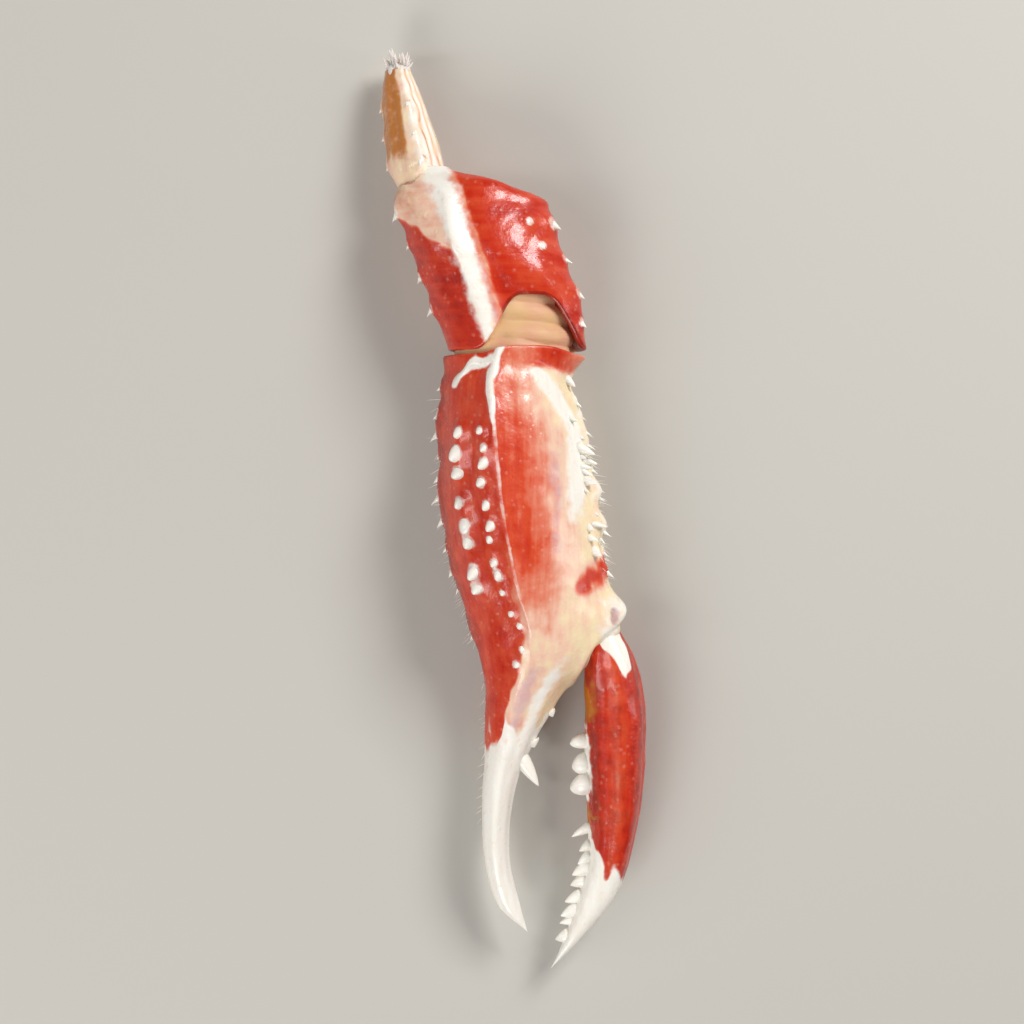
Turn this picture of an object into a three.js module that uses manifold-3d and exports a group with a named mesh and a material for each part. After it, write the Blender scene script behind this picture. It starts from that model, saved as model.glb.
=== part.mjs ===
// A cooked langoustine claw, twisted off the animal and laid flat with its outer face up.
// Millimetres, +Z up: the pincers point to -Y, the arm to +Y, and the surface it lies on is Z = 0.
import * as THREE from 'three';
import { mergeVertices } from 'three/addons/utils/BufferGeometryUtils.js';
import Module from 'manifold-3d';

const wasm = await Module();
wasm.setup();

// Driving dimensions
const JOINT_GAP = 0.35;
const PALM = { x: 1.4, start: -59.8, length: 81.6, width: 24, height: 17.2 };
const FINGER = { x: 13.9, start: -65, length: 55.6, width: 8.6, height: 10 };
const WRIST = { x: -2, start: 23, length: 22.8, width: 22, height: 15.6 };
const ARM = { x: -13.2, start: 47.4, length: 15.2, width: 7.8, height: 8.8, lean: -3.2 };
const FLESH_LENGTH = 2.05;
const PLUG_SHARE = 0.88;
const KNOB_SIDES = 6;
const KNOB_SLICES = 4;
const KNOB_LEAN = 0.35;
const KNOB_AXIS = new THREE.Vector3(0, 1, 0);
const PLUG_SLICES = 6;
const PLUG_SIDES = 18;
const THINNEST = 0.05;
const MERGE_DISTANCE = 1e-4;
const DEGREE = Math.PI / 180;

// Outlines of the shells, as rows of [share of length, left, right, bottom, top].
// Left and right are shares of the width about the shell's own x, bottom and top of its height.
const PALM_OUTLINE = [
  [0, 0.02, 0.02, 0.29, 0.29],
  [0.045, -0.15, -0.03, 0.235, 0.37],
  [0.13, -0.235, -0.095, 0.19, 0.475],
  [0.225, -0.25, -0.08, 0.15, 0.54],
  [0.31, -0.235, 0.005, 0.115, 0.58],
  [0.425, -0.23, 0.23, 0.07, 0.68],
  [0.475, -0.255, 0.42, 0.045, 0.755],
  [0.53, -0.3, 0.515, 0.025, 0.83],
  [0.6, -0.375, 0.465, -0.005, 0.91],
  [0.725, -0.46, 0.405, -0.06, 0.99],
  [0.85, -0.475, 0.33, -0.06, 1],
  [0.945, -0.465, 0.26, -0.01, 0.95],
  [0.975, -0.455, 0.28, 0.03, 0.91],
  [1, -0.465, 0.34, 0.05, 0.91],
];
const FINGER_OUTLINE = [
  [0, -1, -1, 0.45, 0.45],
  [0.08, -0.765, -0.49, 0.32, 0.63],
  [0.19, -0.525, 0.07, 0.24, 0.76],
  [0.29, -0.37, 0.315, 0.2, 0.86],
  [0.425, -0.37, 0.485, 0.16, 0.98],
  [0.565, -0.42, 0.555, 0.14, 1.06],
  [0.69, -0.46, 0.535, 0.14, 1.1],
  [0.8, -0.47, 0.36, 0.2, 1.04],
  [0.9, -0.5, 0, 0.4, 0.9],
  [1, -0.5, -0.3, 0.55, 0.74],
];
const WRIST_OUTLINE = [
  [0, -0.335, 0.53, 0.1, 0.935],
  [0.3, -0.44, 0.48, 0.05, 1],
  [0.6, -0.56, 0.37, 0.04, 1],
  [0.85, -0.645, 0.3, 0.09, 0.91],
  [0.95, -0.668, 0.2, 0.15, 0.83],
  [1, -0.66, -0.24, 0.255, 0.68],
];
const ARM_OUTLINE = [
  [0, -0.42, 0.42, 0.33, 1.1],
  [0.15, -0.5, 0.5, 0.25, 1.17],
  [0.5, -0.45, 0.45, 0.21, 1.04],
  [0.85, -0.34, 0.34, 0.25, 0.85],
  [1, -0.25, 0.25, 0.31, 0.75],
];

// Long ridges of each shell: direction in the slice, height as a share of the radius, width in degrees.
// Directions are counted from +X towards +Z, looking from the fingertips to the arm.
const PALM_RIDGES = [
  { angle: 103, rise: 0.12, spread: 14 },
  { angle: 195, rise: 0.06, spread: 15 },
  { angle: 0, rise: 0.05, spread: 15 },
  { angle: 315, rise: 0.05, spread: 15 },
  { angle: 225, rise: 0.05, spread: 15 },
];
const FINGER_RIDGES = [
  { angle: 60, rise: 0.06, spread: 20 },
  { angle: 320, rise: 0.05, spread: 20 },
];
const WRIST_RIDGES = [
  { angle: 120, rise: 0.1, spread: 15 },
  { angle: 15, rise: 0.07, spread: 16 },
];
const ARM_RIDGES = [
  { angle: 80, rise: 0.1, spread: 22 },
  { angle: 200, rise: 0.1, spread: 22 },
  { angle: 320, rise: 0.1, spread: 22 },
];

// The wrist's edge towards the palm is scooped out on top, where the joint's soft skin shows.
const WRIST_SCOOP = { angle: 70, spread: 44, depth: 7.6 };

// Rows of knobs, spines and teeth: where each row runs, its count and the size of one.
const PALM_KNOBS = [
  { angle: 117, from: 0.62, to: 0.87, count: 9, radius: 0.95, height: 0.8 },
  { angle: 144, from: 0.6, to: 0.87, count: 8, radius: 1.2, height: 1 },
  { angle: 192, from: 0.52, to: 0.95, count: 12, radius: 1.1, height: 1.3 },
  { angle: 3, from: 0.64, to: 0.95, count: 11, radius: 1, height: 1.3 },
  { angle: 326, from: 0.64, to: 0.93, count: 8, radius: 1, height: 0.8 },
  { angle: 216, from: 0.6, to: 0.93, count: 9, radius: 1, height: 0.8 },
];
const HINGE_BOSS = { angle: 8, from: 0.56, to: 0.56, count: 1, radius: 3.4, height: 2, sides: 10 };
const FIXED_FINGER_TEETH = [
  { angle: 0, from: 0.285, to: 0.285, count: 1, radius: 1.6, height: 2.9 },
  { angle: 0, from: 0.335, to: 0.38, count: 2, radius: 1.1, height: 1.2 },
];
const FINGER_TEETH = [
  { angle: 184, from: 0.48, to: 0.59, count: 3, radius: 1.3, height: 2.2 },
  { angle: 184, from: 0.355, to: 0.355, count: 1, radius: 0.9, height: 2 },
  { angle: 190, from: 0.08, to: 0.29, count: 7, radius: 0.8, height: 1.2 },
];
const WRIST_SPINES = [
  { angle: 64, from: 0.55, to: 0.78, count: 2, radius: 1, height: 1.2 },
  { angle: 15, from: 0.12, to: 0.75, count: 4, radius: 1.1, height: 1.4 },
  { angle: 178, from: 0.25, to: 0.85, count: 4, radius: 1.1, height: 1.2 },
];
const ARM_SPINES = [
  { angle: 80, from: 0.2, to: 0.7, count: 3, radius: 0.75, height: 0.8 },
  { angle: 200, from: 0.2, to: 0.7, count: 3, radius: 0.75, height: 0.8 },
];

const RED_SHELL = new THREE.MeshStandardMaterial({ color: 0xc9402b, roughness: 0.35, metalness: 0 });
const SALMON_SHELL = new THREE.MeshStandardMaterial({ color: 0xdf8a76, roughness: 0.35, metalness: 0 });
const PALE_SHELL = new THREE.MeshStandardMaterial({ color: 0xe6c3b2, roughness: 0.4, metalness: 0 });
const JOINT_SKIN = new THREE.MeshStandardMaterial({ color: 0xe9bb83, roughness: 0.5, metalness: 0 });
const FLESH = new THREE.MeshStandardMaterial({ color: 0xf1e2d3, roughness: 0.6, metalness: 0 });

// Row of an outline at any share of the length, on a smooth curve through its rows.
function outlineAt(outline, share) {
  const last = outline.length - 2;
  const found = outline.findIndex((row, i) => i <= last && share <= outline[i + 1][0]);
  const i = found < 0 ? last : found;
  const before = outline[Math.max(i - 1, 0)];
  const [start, end] = [outline[i], outline[i + 1]];
  const after = outline[Math.min(i + 2, outline.length - 1)];
  const span = end[0] - start[0];
  const s = (share - start[0]) / span;
  return start.slice(1).map((_, k) => {
    const column = k + 1;
    const slopeIn = ((end[column] - before[column]) / (end[0] - before[0])) * span;
    const slopeOut = ((after[column] - start[column]) / (after[0] - start[0])) * span;
    return (
      start[column] * (1 + 2 * s) * (1 - s) ** 2 +
      slopeIn * s * (1 - s) ** 2 +
      end[column] * s * s * (3 - 2 * s) +
      slopeOut * s * s * (s - 1)
    );
  });
}

// Smallest turn between two directions, in degrees.
const turnBetween = (a, b) => Math.abs(((a - b + 540) % 360) - 180);
const bell = (turn, spread) => Math.exp(-((turn / spread) ** 2));
const flatBell = (turn, spread) => Math.exp(-((turn / spread) ** 4));

// A shell is a stack of rounded slices across its length, from its near end in -Y to its far end.
// Squareness 2 is an ellipse, and less than 2 leans towards a diamond.
// Ridges may rise between two shares of the length, and nothing goes under the surface it lies on.
function pointOn(shell, share, degrees, grow = 0) {
  const { size, squareness, ridges, ridgesRise, scoop } = shell;
  const [left, right, bottom, top] = outlineAt(shell.outline, share);
  const halfWidth = Math.max(((right - left) / 2) * size.width + grow, THINNEST);
  const halfHeight = Math.max(((top - bottom) / 2) * size.height + grow, THINNEST);
  const [across, up] = [Math.cos(degrees * DEGREE), Math.sin(degrees * DEGREE)];
  const [width, height] = [Math.abs(across / halfWidth), Math.abs(up / halfHeight)];
  const round = (width ** squareness + height ** squareness) ** (-1 / squareness);
  const ridged = ridgesRise ? THREE.MathUtils.smoothstep(share, ...ridgesRise) : 1;
  const rise = ridges.map((ridge) => ridge.rise * bell(turnBetween(degrees, ridge.angle), ridge.spread));
  const radius = round * (1 + ridged * rise.reduce((sum, one) => sum + one, 0));
  const scooped = scoop ? scoop(share) * WRIST_SCOOP.depth : 0;
  return new THREE.Vector3(
    ((left + right) / 2) * size.width + (size.lean ?? 0) * share + radius * across,
    share * size.length + scooped * flatBell(turnBetween(degrees, WRIST_SCOOP.angle), WRIST_SCOOP.spread),
    Math.max(((bottom + top) / 2) * size.height + radius * up, 0),
  );
}

// Closed geometry of a shell, its slices closer together towards both ends.
function shellGeometry(shell, grow = 0) {
  const { slices, sides } = shell;
  const geometry = new THREE.SphereGeometry(1, sides, slices + 1);
  const vertices = geometry.attributes.position;
  const [near, far] = [0, 1].map((share) =>
    [0, 90, 180, 270].reduce(
      (middle, angle) => middle.addScaledVector(pointOn(shell, share, angle, grow), 1 / 4),
      new THREE.Vector3(),
    ),
  );
  for (let i = 0; i < vertices.count; i++) {
    const slice = Math.floor(i / (sides + 1));
    const degrees = ((i % (sides + 1)) % sides) * (360 / sides);
    const step = (slice - 1) / (slices - 1);
    const share = step - Math.sin(2 * Math.PI * step) / (4 * Math.PI);
    const between = slice > 0 && slice <= slices;
    const point = between ? pointOn(shell, share, degrees, grow) : slice ? far : near;
    vertices.setXYZ(i, point.x, point.y, point.z);
  }
  return geometry;
}

// Joining and cutting of closed geometry
function solidFrom(geometry) {
  geometry.deleteAttribute('normal');
  geometry.deleteAttribute('uv');
  const merged = mergeVertices(geometry, MERGE_DISTANCE);
  return new wasm.Manifold(
    new wasm.Mesh({
      numProp: 3,
      vertProperties: merged.attributes.position.array,
      triVerts: new Uint32Array(merged.index.array),
    }),
  );
}

function geometryFrom(solid) {
  const mesh = solid.getMesh();
  const geometry = new THREE.BufferGeometry();
  geometry.setAttribute('position', new THREE.BufferAttribute(mesh.vertProperties, 3));
  geometry.setIndex(new THREE.BufferAttribute(mesh.triVerts, 1));
  geometry.computeVertexNormals();
  return geometry;
}

// Direction straight out of a shell's surface.
function outwardAt(shell, share, degrees) {
  const along = pointOn(shell, share + 0.01, degrees).sub(pointOn(shell, share - 0.01, degrees));
  const round = pointOn(shell, share, degrees + 1).sub(pointOn(shell, share, degrees - 1));
  return along.cross(round).normalize();
}

// One knob, spine or tooth, standing on a shell and leaning towards the fingertips.
function knob(shell, share, row) {
  const geometry = new THREE.SphereGeometry(1, row.sides ?? KNOB_SIDES, KNOB_SLICES);
  const outward = outwardAt(shell, share, row.angle);
  outward.y -= KNOB_LEAN;
  const turn = new THREE.Quaternion().setFromUnitVectors(KNOB_AXIS, outward.normalize());
  const size = new THREE.Vector3(row.radius, row.height, row.radius);
  return geometry.applyMatrix4(new THREE.Matrix4().compose(pointOn(shell, share, row.angle), turn, size));
}

// A shell with its rows of knobs, spines or teeth joined on.
function shellWithKnobs(shell, rows) {
  let solid = solidFrom(shellGeometry(shell));
  for (const row of rows) {
    for (let i = 0; i < row.count; i++) {
      const share = row.from + ((row.to - row.from) * i) / Math.max(row.count - 1, 1);
      solid = solid.add(solidFrom(knob(shell, share, row)));
    }
  }
  return solid;
}

function named(name, solid, material, size) {
  const mesh = new THREE.Mesh(geometryFrom(solid), material);
  mesh.name = name;
  mesh.position.set(size.x, size.start, 0);
  return mesh;
}

// Movable finger: the red pincer hinged on the right of the palm, white at its tip.
const fingerShell = {
  outline: FINGER_OUTLINE,
  size: FINGER,
  slices: 22,
  sides: 18,
  squareness: 2,
  ridges: FINGER_RIDGES,
  ridgesRise: [0.1, 0.4],
};
function movableFinger() {
  return named('movable_finger', shellWithKnobs(fingerShell, FINGER_TEETH), RED_SHELL, FINGER);
}

// Palm: the ridged hand of the claw, which runs on into the fixed finger.
// The movable finger's root sits in a socket cut from its right shoulder.
const palmShell = {
  outline: PALM_OUTLINE,
  size: PALM,
  slices: 36,
  sides: 24,
  squareness: 1.8,
  ridges: PALM_RIDGES,
  ridgesRise: [0.3, 0.65],
};
function palm() {
  const socket = shellGeometry(fingerShell, JOINT_GAP);
  socket.translate(FINGER.x - PALM.x, FINGER.start - PALM.start, 0);
  const rows = [...PALM_KNOBS, HINGE_BOSS, ...FIXED_FINGER_TEETH];
  const solid = shellWithKnobs(palmShell, rows).subtract(solidFrom(socket));
  return named('palm', solid, SALMON_SHELL, PALM);
}

// Wrist: the short red block behind the palm, with its scooped edge towards it.
const wristShell = {
  outline: WRIST_OUTLINE,
  size: WRIST,
  slices: 16,
  sides: 24,
  squareness: 2.2,
  ridges: WRIST_RIDGES,
  scoop: (share) => (1 - share) ** 2,
};
function wrist() {
  return named('wrist', shellWithKnobs(wristShell, WRIST_SPINES), RED_SHELL, WRIST);
}

// Arm: the slim three-sided limb that joined the claw to the body, tapering to its broken end.
const armShell = {
  outline: ARM_OUTLINE,
  size: ARM,
  slices: 12,
  sides: 18,
  squareness: 2,
  ridges: ARM_RIDGES,
};
function arm() {
  return named('arm', shellWithKnobs(armShell, ARM_SPINES), PALE_SHELL, ARM);
}

// Soft plug between two shells, from a ring a little inside the rim of one of them.
function plug(name, ring, size, material, scoop) {
  const [left, right, bottom, top] = ring;
  const towards = (middle, share) => (value) => middle + (value - middle) * share;
  const inner = (share) => [
    ...[left, right].map(towards((left + right) / 2, share)),
    ...[bottom, top].map(towards((bottom + top) / 2, share)),
  ];
  const outline = [[0, ...inner(PLUG_SHARE)], [1, ...inner(PLUG_SHARE * (size.taper ?? 1))]];
  const shell = { outline, size, slices: PLUG_SLICES, sides: PLUG_SIDES, squareness: 2, ridges: [], scoop };
  return named(name, solidFrom(shellGeometry(shell)), material, size);
}

// Soft skin that fills the wrist joint, its far end following the wrist's scooped edge.
function wristMembrane() {
  const start = PALM.start + PALM.length + JOINT_GAP;
  const length = WRIST.start - JOINT_GAP - start;
  const scoop = (share) => share * PLUG_SHARE;
  return plug('wrist_membrane', outlineAt(WRIST_OUTLINE, 0), { ...WRIST, start, length }, JOINT_SKIN, scoop);
}

// Soft skin between the wrist and the arm
function elbowMembrane() {
  const start = WRIST.start + WRIST.length + JOINT_GAP;
  const length = ARM.start - JOINT_GAP - start;
  return plug('elbow_membrane', outlineAt(ARM_OUTLINE, 0), { ...ARM, start, length, lean: 0 }, JOINT_SKIN);
}

// Flesh that shows in the arm's broken end
function armFlesh() {
  const start = ARM.start + ARM.length + JOINT_GAP;
  const lean = (ARM.lean * FLESH_LENGTH) / ARM.length;
  const size = { ...ARM, x: ARM.x + ARM.lean, start, length: FLESH_LENGTH, lean, taper: 0.5 };
  return plug('arm_flesh', outlineAt(ARM_OUTLINE, 1), size, FLESH);
}

const claw = new THREE.Group();
claw.add(palm(), movableFinger(), wristMembrane(), wrist(), elbowMembrane(), arm(), armFlesh());

export default claw;
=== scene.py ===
from dataclasses import dataclass

import bpy
import numpy as np
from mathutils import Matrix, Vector, noise


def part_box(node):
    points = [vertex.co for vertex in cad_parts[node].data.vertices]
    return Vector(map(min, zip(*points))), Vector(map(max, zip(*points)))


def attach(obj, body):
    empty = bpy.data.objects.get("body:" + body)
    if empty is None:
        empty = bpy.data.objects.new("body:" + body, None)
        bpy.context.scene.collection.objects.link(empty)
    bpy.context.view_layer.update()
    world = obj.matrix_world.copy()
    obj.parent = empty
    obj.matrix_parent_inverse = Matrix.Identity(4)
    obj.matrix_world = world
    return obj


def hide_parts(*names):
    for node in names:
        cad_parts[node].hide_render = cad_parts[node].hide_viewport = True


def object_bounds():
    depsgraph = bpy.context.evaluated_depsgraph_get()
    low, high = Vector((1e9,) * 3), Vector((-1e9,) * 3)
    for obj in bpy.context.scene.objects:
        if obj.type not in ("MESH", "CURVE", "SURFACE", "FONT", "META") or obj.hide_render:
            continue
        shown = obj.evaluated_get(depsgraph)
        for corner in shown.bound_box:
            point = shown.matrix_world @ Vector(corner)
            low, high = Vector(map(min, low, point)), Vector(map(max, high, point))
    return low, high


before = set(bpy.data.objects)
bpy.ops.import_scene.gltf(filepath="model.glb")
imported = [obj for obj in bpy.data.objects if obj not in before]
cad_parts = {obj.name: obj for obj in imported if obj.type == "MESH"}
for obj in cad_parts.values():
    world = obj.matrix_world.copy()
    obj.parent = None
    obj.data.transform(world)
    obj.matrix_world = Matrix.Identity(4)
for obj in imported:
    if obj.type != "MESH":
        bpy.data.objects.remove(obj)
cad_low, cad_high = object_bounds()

# Movable finger
# The moving half of the pincer is a curved spike of chitin, boiled red, with a bleached white tip.
# Its root sits in a socket of the palm's right shoulder, where it turned on a hinge.

# Sizes are written in millimetres, and MM turns them into the metres of the frame.
MM = 0.001


def smoothstep(none, full, value):
    """0 up to none, 1 from full on and a smooth rise between them, whichever of the two is larger"""
    way = np.clip((value - none) / (full - none), 0, 1)
    return way * way * (3 - 2 * way)


def within(value, none, full, till, gone):
    """1 where a value lies from full till the next, fading out smoothly to 0 at none and at gone"""
    return smoothstep(none, full, value) * smoothstep(gone, till, value)


def turn_between(one, other):
    """Smallest turn between two directions, in degrees"""
    return np.abs((one - other + 180) % 360 - 180)


def from_below(degrees):
    """Directions round a shell as -90 to 270, so that they jump at the middle of its underside"""
    return (degrees + 90) % 360 - 90


def bell(distance, spread):
    """1 in the middle, falling off smoothly over the spread"""
    return np.exp(-((distance / spread) ** 2))


def band(degrees, middle, spread):
    """1 along one direction of a shell, falling off smoothly to both sides"""
    return bell(turn_between(degrees, middle), spread)


def unevenness(places, size, stretch=1):
    """Slow random rise and fall between about -1 and 1, in swellings of one size, stretched along Y"""
    flat = (places / (size, size * stretch, size)).reshape(-1, 3).tolist()
    return np.array([noise.noise(place) for place in flat]).reshape(places.shape[:-1])


def outline_at(outline, share):
    """Left, right, bottom and top of an outline at the given shares, on a smooth curve through its rows"""
    rows = np.array(outline)
    knots, values = rows[:, 0], rows[:, 1:]
    slopes = np.empty_like(values)
    slopes[1:-1] = (values[2:] - values[:-2]) / (knots[2:] - knots[:-2])[:, None]
    slopes[[0, -1]] = (values[[1, -1]] - values[[0, -2]]) / (knots[[1, -1]] - knots[[0, -2]])[:, None]
    before = np.clip(np.searchsorted(knots, share) - 1, 0, len(knots) - 2)
    after = before + 1
    span = (knots[after] - knots[before])[:, None]
    way = (share - knots[before])[:, None] / span
    from_before = (values[before] * (1 + 2 * way) + slopes[before] * span * way) * (1 - way) ** 2
    from_after = (values[after] * (3 - 2 * way) + slopes[after] * span * (way - 1)) * way ** 2
    return (from_before + from_after).T


@dataclass
class Ridge:
    """A ridge along a shell, or a groove where its rise is negative.

    Its direction is in degrees from +X towards +Z and its rise a share of the radius.
    It is flat at the share none of the shell's length and full at the share full.
    """
    degrees: float
    rise: float
    spread: float
    none: float = -1
    full: float = 0


THINNEST = 0.05
# Direction and spread of what a scoop or an arch moves, in degrees
SCOOP_TURN, SCOOP_SPREAD = 70, 44


@dataclass
class Shell:
    """A shell as a stack of rounded slices from its near end in -Y to its far end, sizes in millimetres.

    The outline's rows are share of length, left, right, bottom and top, as shares of the width and height.
    Squareness 2 gives ellipses, and less leans towards diamonds. On top, a scoop cuts back the near end,
    and an arch carries the far end further out. A tuck lengthens an end beyond the node, into what it joins.
    """
    node: str
    outline: list
    x: float
    width: float
    height: float
    squareness: float
    ridges: list
    lean: float = 0
    scoop: float = 0
    arch: float = 0
    near_tuck: float = 0
    far_tuck: float = 0

    def __post_init__(self):
        low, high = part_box(self.node)
        self.start = low.y / MM - self.near_tuck
        self.length = (high.y - low.y) / MM + self.near_tuck + self.far_tuck

    def at(self, share, degrees):
        """Places on the shell for shares of its length and directions round it"""
        share, degrees = np.broadcast_arrays(np.asarray(share, float), np.asarray(degrees, float))
        left, right, bottom, top = outline_at(self.outline, share.ravel()).reshape(4, *share.shape)
        half_width = np.maximum((right - left) / 2 * self.width, THINNEST)
        half_height = np.maximum((top - bottom) / 2 * self.height, THINNEST)
        across, up = np.cos(np.radians(degrees)), np.sin(np.radians(degrees))
        power = self.squareness
        radius = (np.abs(across / half_width) ** power + np.abs(up / half_height) ** power) ** (-1 / power)
        radius = radius * (1 + sum(
            ridge.rise * band(degrees, ridge.degrees, ridge.spread)
            * smoothstep(ridge.none, ridge.full, share)
            for ridge in self.ridges
        ))
        on_top = np.exp(-((turn_between(degrees, SCOOP_TURN) / SCOOP_SPREAD) ** 4))
        further = (self.scoop * (1 - share) ** 2 + self.arch * share ** 8) * on_top
        return np.stack((
            self.x + (left + right) / 2 * self.width + self.lean * share + radius * across,
            self.start + share * self.length + further,
            np.maximum((bottom + top) / 2 * self.height + radius * up, 0),
        ), axis=-1)


def new_object(name, data):
    """Object at the origin that holds a mesh, a light or a camera"""
    made = bpy.data.objects.new(name, data)
    bpy.context.scene.collection.objects.link(made)
    return made


def shell_piece(
    name, shell, slices, sides, finish, relief, marks, streaks=(1, 1, 1), near_lip=(), far_lip=(),
):
    """Closed smooth mesh object of a shell, raised by its relief and carrying its colour marks.

    relief and marks are functions of share, degrees and places, and slices stand closer near the ends.
    The pigment's streaks are long in the directions where their value is small. A lip's rows roll the rim
    inwards: each is a share of the rim's size and a shift along Y, from the rim to the inside.
    """
    steps = np.linspace(0, 1, slices)
    share = (steps - np.sin(2 * np.pi * steps) / (4 * np.pi))[:, None] + np.zeros(sides)
    degrees = np.zeros((slices, 1)) + np.arange(sides) * 360 / sides
    rings = shell.at(share, degrees)
    outward = np.cross(np.gradient(rings, axis=0), np.roll(rings, -1, axis=1) - np.roll(rings, 1, axis=1))
    outward /= np.linalg.norm(outward, axis=2, keepdims=True)
    raised = rings + outward * relief(share, degrees, rings)[..., None]
    raised[..., 2] = np.maximum(raised[..., 2], 0)

    def rolled(ring, size, shift):
        middle = ring.mean(axis=0) * (1, 0, 1)
        return middle + (ring - middle) * (size, 1, size) + (0, shift, 0)

    near_rows = [rolled(raised[0], *row) for row in reversed(near_lip)]
    far_rows = [rolled(raised[-1], *row) for row in far_lip]
    rows = np.array([*near_rows, *raised, *far_rows])
    places = np.concatenate((rows[0].mean(axis=0)[None], rows.reshape(-1, 3), rows[-1].mean(axis=0)[None]))

    number = 1 + np.arange(len(rows) * sides).reshape(len(rows), sides)
    beside = np.roll(number, -1, axis=1)
    quads = np.stack((number[:-1], number[1:], beside[1:], beside[:-1]), axis=-1).reshape(-1, 4)
    near_fan = np.stack((np.zeros(sides, int), number[0], beside[0]), axis=-1)
    far_fan = np.stack((np.full(sides, len(places) - 1), beside[-1], number[-1]), axis=-1)
    mesh = bpy.data.meshes.new(name)
    mesh.from_pydata((places * MM).tolist(), [], quads.tolist() + near_fan.tolist() + far_fan.tolist())
    mesh.shade_smooth()
    for mark, values in marks(share, degrees, rings).items():
        near_values = values[:1].repeat(len(near_rows), axis=0)
        far_values = values[-1:].repeat(len(far_rows), axis=0)
        flat = np.concatenate((near_values, values, far_values)).ravel()
        flat = np.concatenate((flat[:1], flat, flat[-1:])).astype(np.float32)
        mesh.attributes.new(mark, "FLOAT", "POINT").data.foreach_set("value", flat)
    flow = (places * MM * streaks).ravel().astype(np.float32)
    mesh.attributes.new("streaks", "FLOAT_VECTOR", "POINT").data.foreach_set("vector", flow)
    mesh.materials.append(finish)
    return new_object(name, mesh)


def linear(hex_colour):
    """Linear colour of an sRGB hex value"""
    levels = [int(hex_colour[start:start + 2], 16) / 255 for start in (1, 3, 5)]
    colour = [level / 12.92 if level <= 0.04045 else ((level + 0.055) / 1.055) ** 2.4 for level in levels]
    return [*colour, 1.0]


def add_node(tree, kind, inputs=None, **settings):
    """Adds a node with its settings, and feeds its inputs with values, outputs or other nodes"""
    node = tree.nodes.new(kind)
    for setting, value in settings.items():
        setattr(node, setting, value)
    for socket, value in (inputs or {}).items():
        if isinstance(value, bpy.types.Node):
            value = next(output for output in value.outputs if output.enabled)
        if isinstance(value, bpy.types.NodeSocket):
            tree.links.new(value, node.inputs[socket])
        else:
            node.inputs[socket].default_value = value
    return node


def new_material(name):
    """Empty material, its node tree and the Object coordinates that its patterns lie on"""
    material = bpy.data.materials.new(name)
    material.use_nodes = True
    tree = material.node_tree
    tree.nodes.clear()
    return material, tree, add_node(tree, "ShaderNodeTexCoord").outputs["Object"]


# A Mix node's inputs when it mixes colours
MIX_FACTOR, MIX_A, MIX_B = 0, 6, 7
# Colours of the pigment from none to the deepest, then name, colour and strength of the marks over it. The
# dark and mauve marks also carry painted shade in places.
SHELL_TINTS = (
    (0.0, "#f1dbb3"), (0.2, "#eec3aa"), (0.42, "#e0866b"),
    (0.62, "#d54c2a"), (0.82, "#c42a0d"), (1.0, "#a31706"),
)
SHELL_MARKS = (("mauve", "#cda5ad", 0.7), ("dark", "#7e150a", 0.75), ("amber", "#ba6c14", 0.92))
# Whites of the unpigmented shell, which also paint the highlight streak on the palm
BARE_CHITIN_AND_GLINT = ("#ece3d3", "#fcf9f3")
CLOUD_SHARE, STREAK_SHARE, FLECK_SHARE = 0.5, 0.36, 0.6
CLOUD_SIZE, FLECK_SIZE, STREAK_SIZE, GRAIN_SIZE, GRANULE_SIZE = 2.6, 1.4, 0.9, 0.55, 1.3


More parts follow.
